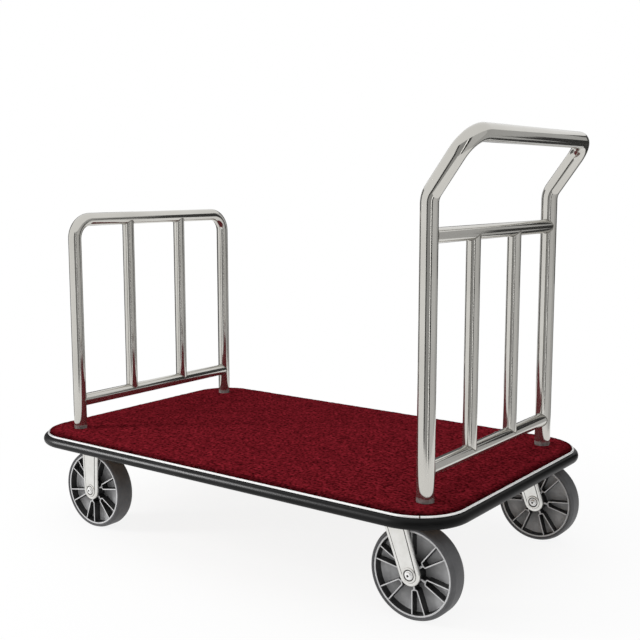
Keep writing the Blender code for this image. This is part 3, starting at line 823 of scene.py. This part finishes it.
def carpet():
    """A closed sheet on a fine grid, its boundary drawn to the deck's outline and the posts."""
    bm = bmesh.new()
    pile_grid(bm)
    rim = [edge for edge in bm.edges if edge.is_boundary]
    for vert in {vert for edge in rim for vert in edge.verts}:
        distance, out = past_pile(vert.co.x, vert.co.y)
        vert.co.xy -= out * distance
    # painted shade along the carpet's edge, one at the outline and zero a band's width inside
    painted_edge_shade = bm.verts.layers.float.new("painted_edge_shade")
    for vert in bm.verts:
        vert.co.z = pile_height(vert.co.x, vert.co.y)
        vert[painted_edge_shade] = max(0, 1 + past_outline(vert.co.x, vert.co.y)[0] / PILE_EDGE_SHADE)
    walls = bmesh.ops.extrude_edge_only(bm, edges=rim)["geom"]
    for vert in walls:
        if isinstance(vert, bmesh.types.BMVert):
            vert.co.z = CARPET_BOTTOM
    base = [edge for edge in walls if isinstance(edge, bmesh.types.BMEdge) and edge.is_boundary]
    bmesh.ops.triangle_fill(bm, edges=base, use_beauty=True)
    made = piece("carpet_finished", mesh_of("carpet", bm, PILE), "cart", ["carpet"])


def deck_loop(offset, z):
    """The deck's outline moved out by offset, from the +X end of its near side round to the -X end."""
    inset_x, inset_y = DECK.x / 2 - DECK_CORNER, DECK.y / 2 - DECK_CORNER
    corners = ((inset_x, -inset_y), (inset_x, inset_y), (-inset_x, inset_y), (-inset_x, -inset_y))
    points = []
    for turn, (x, y) in enumerate(corners):
        for step in range(CORNER_STEPS + 1):
            angle = (turn - 1 + step / CORNER_STEPS) * pi / 2
            out = (DECK_CORNER + offset) * Vector((cos(angle), sin(angle), 0))
            points.append(Vector((x, y, z)) + out)
    return points


def trim_strip():
    """A bright strip with a rounded top, bent round the deck from one length.

    Its ends meet at a seam in the near corner by the handle, a share of one step of the corner's arc apart.
    """
    top = TRIM_TOP - TRIM_SINK
    section = filleted([
        (TRIM_INSIDE, TRIM_BOTTOM, 0), (TRIM_OUTSIDE, TRIM_BOTTOM, 0),
        (TRIM_OUTSIDE, top, TRIM_OUTER_ROUND), (TRIM_INSIDE, top, TRIM_INNER_ROUND),
    ])
    loops = []
    for offset, z in section:
        points = deck_loop(offset, z)
        start, before = points[TRIM_SEAM_STEP], points[TRIM_SEAM_STEP - 1]
        end = before.lerp(start, 1 - TRIM_SEAM_SHARE)
        loops.append(points[TRIM_SEAM_STEP:] + points[:TRIM_SEAM_STEP] + [end])
    bm = bmesh.new()
    closed_skin(bm, [list(ring) for ring in zip(*loops)])
    piece("trim_strip_finished", mesh_of("trim_strip", bm, TRIM_STEEL), "cart", ["trim_strip"])


def bumper():
    """A rubber strip of D-shaped section round the edge band."""
    inner = BAND_OUT + GAP
    top = BUMPER_TOP - BUMPER_SINK
    centre_z = (BUMPER_BOTTOM + top) / 2
    loops = []
    for step in range(BUMPER_STEPS + 1):
        angle = pi * (step / BUMPER_STEPS - 0.5)
        offset = inner + (BUMPER_OUT - inner) * max(0, cos(angle)) ** BUMPER_SQUARENESS
        loops.append(deck_loop(offset, centre_z + (top - centre_z) * sin(angle)))
    bm = bmesh.new()
    skin(bm, [list(ring) for ring in zip(*loops)], wrap=True)
    piece("bumper_finished", mesh_of("bumper", bm, BUMPER), "cart", ["bumper"])


# Wheels
def tyre_mesh():
    """A smooth tread with round shoulders, from half its (radius, distance along, fillet) corners."""
    half = [
        (RIM_RADIUS + 0.0001, -TYRE_HALF + 0.0016, 0.0004),
        (RIM_RADIUS + 0.0022, -TYRE_HALF, 0.0008),
        (WHEEL_RADIUS - 0.0034, -TYRE_HALF + 0.0002, 0.0030),
        (WHEEL_RADIUS - 0.0002, -TYRE_HALF + 0.0080, 0.0060),
        (WHEEL_RADIUS, -0.0008, 0),
    ]
    other = [(radius, -along, fillet) for radius, along, fillet in reversed(half)]
    bm = bmesh.new()
    turned(bm, filleted(half + other), steps=WHEEL_STEPS, hollow=True)
    return mesh_of("tyre", bm, TYRE)


def rib(bm, path, half_thickness):
    """A wall through the wheel that follows a path of (x, z) points."""
    section = filleted([
        (-half_thickness, -RIB_HALF_DEPTH, RIB_ROUND), (half_thickness, -RIB_HALF_DEPTH, RIB_ROUND),
        (half_thickness, RIB_HALF_DEPTH, RIB_ROUND), (-half_thickness, RIB_HALF_DEPTH, RIB_ROUND),
    ])
    rings = []
    for index, point in enumerate(path):
        tangent = (path[min(index + 1, len(path) - 1)] - path[max(index - 1, 0)]).normalized()
        out = Vector((-tangent.y, tangent.x))
        ring = []
        for width, depth in section:
            place = point + out * width
            ring.append(Vector((place.x, depth, place.y)))
        rings.append(ring)
    closed_skin(bm, rings)


def polar(radius, angle):
    return Vector((radius * cos(angle), radius * sin(angle)))


def rib_pair(bm, angle):
    """Two radial ribs joined by a low round end near the hub, and the short stem that ties them to it."""
    fold_radius = RIB_INNER * cos(RIB_SPREAD)
    fold_half = RIB_INNER * sin(RIB_SPREAD)
    path = [polar(RIM_INNER + RIB_SUNK, angle + RIB_SPREAD)]
    for step in range(RIB_FOLD_STEPS + 1):
        turn = pi * step / RIB_FOLD_STEPS
        inward = polar(fold_radius - RIB_FOLD_DEPTH * sqrt(sin(turn)), angle)
        path.append(inward + polar(fold_half * cos(turn), angle + pi / 2))
    path.append(polar(RIM_INNER + RIB_SUNK, angle - RIB_SPREAD))
    rib(bm, path, RIB_HALF_THICKNESS)
    stem = [polar(HUB_RADIUS - STEM_SUNK, angle), polar(fold_radius - RIB_FOLD_DEPTH, angle)]
    rib(bm, stem, STEM_HALF_THICKNESS)


def wheel_centre_mesh(first):
    """Rim, web and hub turned in one, with the rib pairs between them from a first angle on."""
    half = [
        (RIM_RADIUS, RIM_HALF, 0.0006), (RIM_INNER + DRAFT, RIM_HALF, 0.0008),
        (RIM_INNER, WEB_HALF, 0.0025), (HUB_RADIUS + DRAFT, WEB_HALF, 0.0025),
        (HUB_RADIUS, HUB_HALF, 0.0012), (HUB_BORE, HUB_HALF, 0.0004),
    ]
    other = [(radius, -along, fillet) for radius, along, fillet in reversed(half)]
    bm = bmesh.new()
    turned(bm, filleted(half + other), steps=WHEEL_STEPS, hollow=True)
    for pair in range(RIB_PAIRS):
        rib_pair(bm, first + 2 * pi * pair / RIB_PAIRS)
    return mesh_of("wheel_centre", bm, PLASTIC)


# Casters
def leg_line(inset, top_x, top_z):
    """(x, z) points down one edge of a fork leg, round its end and up the other edge, moved in by inset."""
    left = Vector((top_x - LEG_WIDTH / 2, top_z))
    right = Vector((top_x + LEG_WIDTH / 2, top_z))
    first = atan2(left.y, left.x) + acos(LEG_END / left.length)
    last = atan2(right.y, right.x) - acos(LEG_END / right.length) + 2 * pi
    line = [left - polar(inset, first)]
    for step in range(CORNER_STEPS + 1):
        line.append(polar(LEG_END - inset, first + (last - first) * step / CORNER_STEPS))
    line.append(right - polar(inset, last))
    return line


def leg_profile():
    """(inset, height) from a leg's back, round its turned-in edge and over a groove to its front panel."""
    turn_in = [pi / 2 * step / FILLET_STEPS for step in range(FILLET_STEPS + 1)]
    inner_bend = LEG_BEND - LEG_SHEET
    back = [(LEG_GROOVE_INSET, -LEG_SHEET)]
    back += [(LEG_BEND - inner_bend * sin(angle), -LEG_BEND + inner_bend * cos(angle)) for angle in turn_in]
    front = [(LEG_BEND - LEG_BEND * cos(angle), -LEG_BEND + LEG_BEND * sin(angle)) for angle in turn_in]
    groove_end = LEG_GROOVE_INSET + LEG_GROOVE_WIDTH
    front += [
        (LEG_GROOVE_INSET, 0), (LEG_GROOVE_INSET + LEG_GROOVE_SLOPE, -LEG_GROOVE_DEPTH),
        (groove_end - LEG_GROOVE_SLOPE, -LEG_GROOVE_DEPTH), (groove_end, LEG_PANEL_RISE),
    ]
    return back + [(LEG_SHEET, -LEG_FLANGE), (0, -LEG_FLANGE)] + front


def fork_leg(bm, sign, top_x, top_z):
    """A pressed leg on one side of the wheel, about the middle of the axle."""
    lines = []
    for inset, height in leg_profile():
        y = sign * (FORK_HALF + height)
        lines.append([Vector((x, y, z)) for x, z in leg_line(inset, top_x, top_z)])
    # painted shade: the rows inside each pressed groove take the dark finish
    groove_shade_rows = range(len(lines) - 4, len(lines) - 1)
    verts = skin(bm, lines, closed=False, painted_shade_rows=groove_shade_rows)
    cap(bm, verts[0])
    cap(bm, verts[-1])
    cap(bm, [line[0] for line in verts] + [line[-1] for line in reversed(verts)])
    face = FORK_HALF + LEG_PANEL_RISE
    boss = [(radius, sign * (face + height)) for radius, height in BOSS]
    turned(bm, boss, hollow=True)


def fork_arch(bm, low_x, high_x, top_z):
    """The bent top of a fork, over the wheel from leg to leg."""
    inner, under = FORK_HALF - LEG_SHEET, top_z - LEG_SHEET
    section = filleted([
        (-FORK_HALF, top_z - ARCH_DEPTH, 0), (-FORK_HALF, top_z, ARCH_OUTER_BEND),
        (FORK_HALF, top_z, ARCH_OUTER_BEND), (FORK_HALF, top_z - ARCH_DEPTH, 0),
        (inner, top_z - ARCH_DEPTH, 0), (inner, under, ARCH_INNER_BEND),
        (-inner, under, ARCH_INNER_BEND), (-inner, top_z - ARCH_DEPTH, 0),
    ])
    closed_skin(bm, [[Vector((x, y, z)) for y, z in section] for x in (low_x, high_x)])


def plate(bm, bottom, top):
    """A rounded plate about the origin with softened edges."""
    edges = ((PLATE_EDGE, bottom), (0, bottom + PLATE_EDGE), (0, top - PLATE_EDGE), (PLATE_EDGE, top))
    rings = []
    for inset, z in edges:
        x, y = PLATE.x / 2 - inset, PLATE.y / 2 - inset
        signs = ((1, -1), (1, 1), (-1, 1), (-1, -1))
        outline = filleted([(sign_x * x, sign_y * y, PLATE_CORNER - inset) for sign_x, sign_y in signs])
        rings.append([Vector((point.x, point.y, z)) for point in outline])
    closed_skin(bm, rings)


def swivel_fork_mesh():
    low_x, high_x = (KINGPIN_FROM_AXLE + x for x in CROWN_X)
    bm = bmesh.new()
    for sign in SIDES.values():
        fork_leg(bm, sign, SWIVEL_LEG_TOP_X, SWIVEL_CROWN_TOP - ARCH_DEPTH / 2)
    fork_arch(bm, low_x, high_x, SWIVEL_CROWN_TOP)
    return mesh_of("swivel_fork", bm, ZINC, GROOVE_SHADE)


def fixed_fork_mesh():
    plate_bottom = PLATE_BOTTOM - WHEEL_RADIUS
    bm = bmesh.new()
    for sign in SIDES.values():
        fork_leg(bm, sign, 0, plate_bottom - ARCH_DEPTH / 2)
    fork_arch(bm, -LEG_WIDTH / 2, LEG_WIDTH / 2, plate_bottom + PLATE_EDGE)
    plate(bm, plate_bottom, plate_bottom + PLATE.z)
    return mesh_of("fixed_fork", bm, ZINC, GROOVE_SHADE)


def axle_bolt_mesh():
    """A domed bolt head on a washer, with painted shade in its socket and in a thin dark ring round the
    washer, and a shank with a threaded end.
    """
    face = FORK_HALF + LEG_PANEL_RISE
    head, washer, recess_shade, socket = (
        [(radius, -face - along) for radius, along in profile]
        for profile in (AXLE_HEAD, HEAD_WASHER, RECESS_SHADE_RING, HEAD_SOCKET)
    )
    thread = []
    for turn in range(THREAD_TURNS):
        along = AXLE_END - THREAD_PITCH * turn
        thread += [(AXLE_RADIUS - THREAD_DEPTH, along), (AXLE_RADIUS, along - THREAD_PITCH / 2)]
    bm = bmesh.new()
    turned(bm, washer, hollow=True)
    # painted shade: a thin dark ring round the washer and a dark plug in the socket
    turned(bm, recess_shade, hollow=True, finish=1)
    turned(bm, socket, finish=1)
    turned(bm, thread + [(AXLE_RADIUS, -face)] + head)
    return mesh_of("axle_bolt", bm, TRIM_STEEL, GROOVE_SHADE)


def axle_nut_mesh():
    """A washer and a hexagon nut round the axle's threaded end."""
    face = FORK_HALF + LEG_PANEL_RISE
    bm = bmesh.new()
    turned(bm, [(radius, face + along) for radius, along in NUT_WASHER], hollow=True)
    turned(bm, [(radius, face + along) for radius, along in NUT], steps=HEXAGON, hollow=True)
    return mesh_of("axle_nut", bm, ZINC)


def swivel_race_mesh():
    """Two pressed cups with a groove between them."""
    waist = (RACE_BOTTOM + RACE_TOP) / 2
    half = [
        (RACE_BORE, RACE_BOTTOM, 0), (RACE_RADIUS - 0.0012, RACE_BOTTOM, 0.0008),
        (RACE_RADIUS, waist - 0.0022, 0.0012), (RACE_RADIUS - 0.0022, waist - 0.0010, 0.0004),
        (RACE_RADIUS - 0.0036, waist, 0),
    ]
    other = [(radius, 2 * waist - z, fillet) for radius, z, fillet in reversed(half[:-1])]
    bm = bmesh.new()
    turned(bm, filleted(half + other), axis="Z", steps=TUBE_SIDES, hollow=True)
    return mesh_of("swivel_race", bm, ZINC)


def hexagon_bolt(bm, place, flange_radius, head_radius, height, shank_radius, shank):
    """A flange bolt seen from below: its seat is at place, its head hangs down and its shank goes up."""
    flange = [
        (flange_radius, 0), (flange_radius, -FLANGE_EDGE),
        (FLANGE_TOP_SHARE * head_radius, -FLANGE_HEIGHT),
        (FLANGE_INSIDE_SHARE * head_radius, -FLANGE_HEIGHT),
    ]
    head = [
        (head_radius, HEAD_SUNK - FLANGE_HEIGHT),
        (head_radius, HEAD_CHAMFER - height), (HEAD_END_SHARE * head_radius, -height),
    ]
    turned(bm, flange, place, "Z")
    turned(bm, head, place, "Z", steps=HEXAGON)
    turned(bm, [(shank_radius, -SHANK_SUNK), (shank_radius, shank)], place, "Z")


def plate_bolts_mesh():
    bm = bmesh.new()
    for sign_x in (-1, 1):
        for sign_y in (-1, 1):
            place = Vector((sign_x, sign_y, 1)) * PLATE_BOLT_PLACE
            hexagon_bolt(
                bm, place, PLATE_BOLT_FLANGE, PLATE_BOLT_HEAD, PLATE_BOLT_HEIGHT, PLATE_BOLT_SHANK, PLATE.z
            )
    return mesh_of("plate_bolts", bm, ZINC)


def post_bolts():
    for end, x in (("guard", GUARD_X), ("handle", HANDLE_X)):
        for side, sign in SIDES.items():
            node_name = f"{end}_{side}_bolt"
            low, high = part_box(node_name)
            height, shank = BOARD_BOTTOM - low.z, high.z - BOARD_BOTTOM
            flange_radius = (high.x - low.x) / 2
            bm = bmesh.new()
            seat = BOARD_BOTTOM * Z
            hexagon_bolt(bm, seat, flange_radius, POST_BOLT_HEAD, height, POST_BOLT_SHANK, shank)
            place = Vector((x, sign * POST_Y, 0))
            mesh = mesh_of(node_name, bm, ZINC)
            piece(node_name + "_finished", mesh, "cart", [node_name], place)


def casters():
    tyre = tyre_mesh()
    axle_bolt, axle_nut, bolts = axle_bolt_mesh(), axle_nut_mesh(), plate_bolts_mesh()
    race = swivel_race_mesh()
    forks = {"fixed": fixed_fork_mesh(), "swivel": swivel_fork_mesh()}
    for kind in forks:
        for side in SIDES:
            name = f"{kind}_{side}"
            fork_body = "cart" if kind == "fixed" else name
            axle = joint_place(name + "_spin")
            pivot = axle if kind == "fixed" else joint_place(name + "_turn")
            centre = wheel_centre_mesh(RIB_TURNS[name])
            wheel = (("tyre", tyre, "tyre_rubber"), ("wheel_centre", centre, "wheel_plastic"))
            for part, mesh, slot in wheel:
                piece(f"{name}_{part}_finished", mesh, name + "_wheel", [f"{name}_{part}"], axle)
            for part, mesh in (("fork", forks[kind]), ("axle_bolt", axle_bolt), ("axle_nut", axle_nut)):
                piece(f"{name}_{part}_finished", mesh, fork_body, [f"{name}_{part}"], axle)
            plate_place = Vector((pivot.x, pivot.y, PLATE_BOTTOM))
            piece(name + "_plate_bolts", bolts, "cart", place=plate_place)
            if kind == "swivel":
                race_name = name + "_swivel_race"
                race_place = Vector((pivot.x, pivot.y, 0))
                piece(race_name + "_finished", race, "cart", [race_name], race_place)


def kept_cad_nodes():
    """CAD nodes whose shape is right get a finish and softened edges."""
    finishes = {"deck_board": WOOD, "edge_band": PAINT}
    for name in frame["nodes"]:
        if "rail" in name:
            finishes[name] = PAINT
        elif name.endswith(("plug", "sleeve", "kingpin", "top_plate")):
            finishes[name] = ZINC
    for name, finish in finishes.items():
        made = frame["nodes"][name]
        for material_slot in made.material_slots:
            material_slot.material = finish
        bevel = made.modifiers.new("softened edges", "BEVEL")
        bevel.width = SOFT_EDGE
        bevel.segments = SOFT_EDGE_SEGMENTS
        bevel.limit_method = "ANGLE"
        bevel.angle_limit = SOFT_EDGE_ANGLE


# Studio
def camera():
    data = bpy.data.cameras.new("photo_camera")
    data.sensor_width = CAMERA_SENSOR
    data.lens = CAMERA_LENS
    made = bpy.data.objects.new("photo_camera", data)
    made.location = CAMERA_PLACE
    made.rotation_euler = CAMERA_TURN
    bpy.context.scene.collection.objects.link(made)
    bpy.context.scene.camera = made


def shown_rays(tree):
    """One for camera, glossy and transmission rays, zero for the rays that light things."""
    rays = node(tree, "LightPath").outputs
    seen = node(tree, "Math", {0: rays["Is Camera Ray"], 1: rays["Is Glossy Ray"]}, operation="MAXIMUM")
    inputs = {0: seen.outputs["Value"], 1: rays["Is Transmission Ray"]}
    return node(tree, "Math", inputs, operation="MAXIMUM").outputs["Value"]


def floor():
    """A pale floor that keeps the cart's shadow, fades to white away from it and is clear from below."""
    material = bpy.data.materials.new("studio_floor")
    material.use_nodes = True
    tree = material.node_tree
    tree.nodes.remove(tree.nodes["Principled BSDF"])
    surface = node(tree, "NewGeometry").outputs
    distance = node(tree, "VectorMath", {0: surface["Position"]}, operation="LENGTH").outputs["Value"]
    inputs = {"Value": distance, "To Min": FLOOR_WHITENESS, "To Max": 1.0}
    inputs["From Min"], inputs["From Max"] = FLOOR_FADE
    fade = node(tree, "MapRange", inputs, interpolation_type="SMOOTHSTEP")
    share = node(tree, "Math", {0: fade.outputs["Result"], 1: shown_rays(tree)}, operation="MULTIPLY")
    pale = node(tree, "BsdfDiffuse", {"Color": FLOOR_COLOUR})
    white = node(tree, "Emission", {"Color": WHITE, "Strength": 1.0})
    inputs = {0: share.outputs["Value"], 1: pale.outputs["BSDF"], 2: white.outputs["Emission"]}
    above = node(tree, "MixShader", inputs)
    below = node(tree, "BsdfTransparent", {"Color": WHITE})
    inputs = {0: surface["Backfacing"], 1: above.outputs["Shader"], 2: below.outputs["BSDF"]}
    mix = node(tree, "MixShader", inputs)
    tree.links.new(mix.outputs["Shader"], tree.nodes["Material Output"].inputs["Surface"])
    bm = bmesh.new()
    bmesh.ops.create_grid(bm, x_segments=1, y_segments=1, size=FLOOR_HALF)
    made = bpy.data.objects.new("studio_floor", mesh_of("studio_floor", bm, material))
    bpy.context.scene.collection.objects.link(made)


def world():
    made = bpy.data.worlds.new("studio")
    bpy.context.scene.world = made
    made.use_nodes = True
    tree = made.node_tree
    soft = tree.nodes["Background"]
    soft.inputs["Color"].default_value = WHITE
    soft.inputs["Strength"].default_value = WORLD_STRENGTH
    white = node(tree, "Background", {"Color": WHITE, "Strength": 1.0})
    inputs = {0: shown_rays(tree), 1: soft.outputs["Background"], 2: white.outputs["Background"]}
    mix = node(tree, "MixShader", inputs)
    tree.links.new(mix.outputs["Shader"], tree.nodes["World Output"].inputs["Surface"])


def facing(place, target):
    return (Vector(target) - Vector(place)).to_track_quat("-Z", "Y").to_euler()


def lamp(name, place, target, size, power, mirrored=False):
    """A soft area lamp, which polished surfaces show only if it is mirrored."""
    data = bpy.data.lights.new(name, "AREA")
    data.shape = "RECTANGLE"
    data.size, data.size_y = size
    data.energy = power
    made = bpy.data.objects.new(name, data)
    made.location = place
    made.rotation_euler = facing(place, target)
    made.visible_glossy = mirrored
    bpy.context.scene.collection.objects.link(made)
    return made


def board(first, last, low, high, strength):
    """A curved grey board round the cart between two plan angles, which only polished surfaces show."""
    name = f"board_{round(first)}_{round(low * 100)}"
    material = bpy.data.materials.new(name)
    material.use_nodes = True
    tree = material.node_tree
    tree.nodes.remove(tree.nodes["Principled BSDF"])
    grey = node(tree, "Emission", {"Color": WHITE, "Strength": strength})
    tree.links.new(grey.outputs["Emission"], tree.nodes["Material Output"].inputs["Surface"])
    steps = ceil((last - first) / BOARD_STEP)
    rings = []
    for step in range(steps + 1):
        angle = radians(first + (last - first) * step / steps)
        foot = BOARD_RADIUS * Vector((cos(angle), sin(angle), 0))
        rings.append([foot + low * Z, foot + high * Z])
    bm = bmesh.new()
    skin(bm, rings, closed=False)
    made = bpy.data.objects.new(name, mesh_of(name, bm, material))
    made.visible_camera = False
    made.visible_diffuse = False
    made.visible_shadow = False
    bpy.context.scene.collection.objects.link(made)


def bumper_strip():
    """A lamp that draws a soft highlight on the bumper alone."""
    strip = lamp(*BUMPER_LAMP, mirrored=True)
    lit = bpy.data.collections.new("bumper_strip_receivers")
    lit.objects.link(bpy.data.objects["bumper_finished"])
    strip.light_linking.receiver_collection = lit


def studio():
    camera()
    floor()
    world()
    for settings in LAMPS:
        lamp(*settings)
    bumper_strip()
    for settings in BOARDS:
        board(*settings)


bpy.context.scene.view_settings.view_transform = "Standard"
carpet()
trim_strip()
bumper()
guard_rail()
push_handle()
casters()
post_bolts()
kept_cad_nodes()
studio()
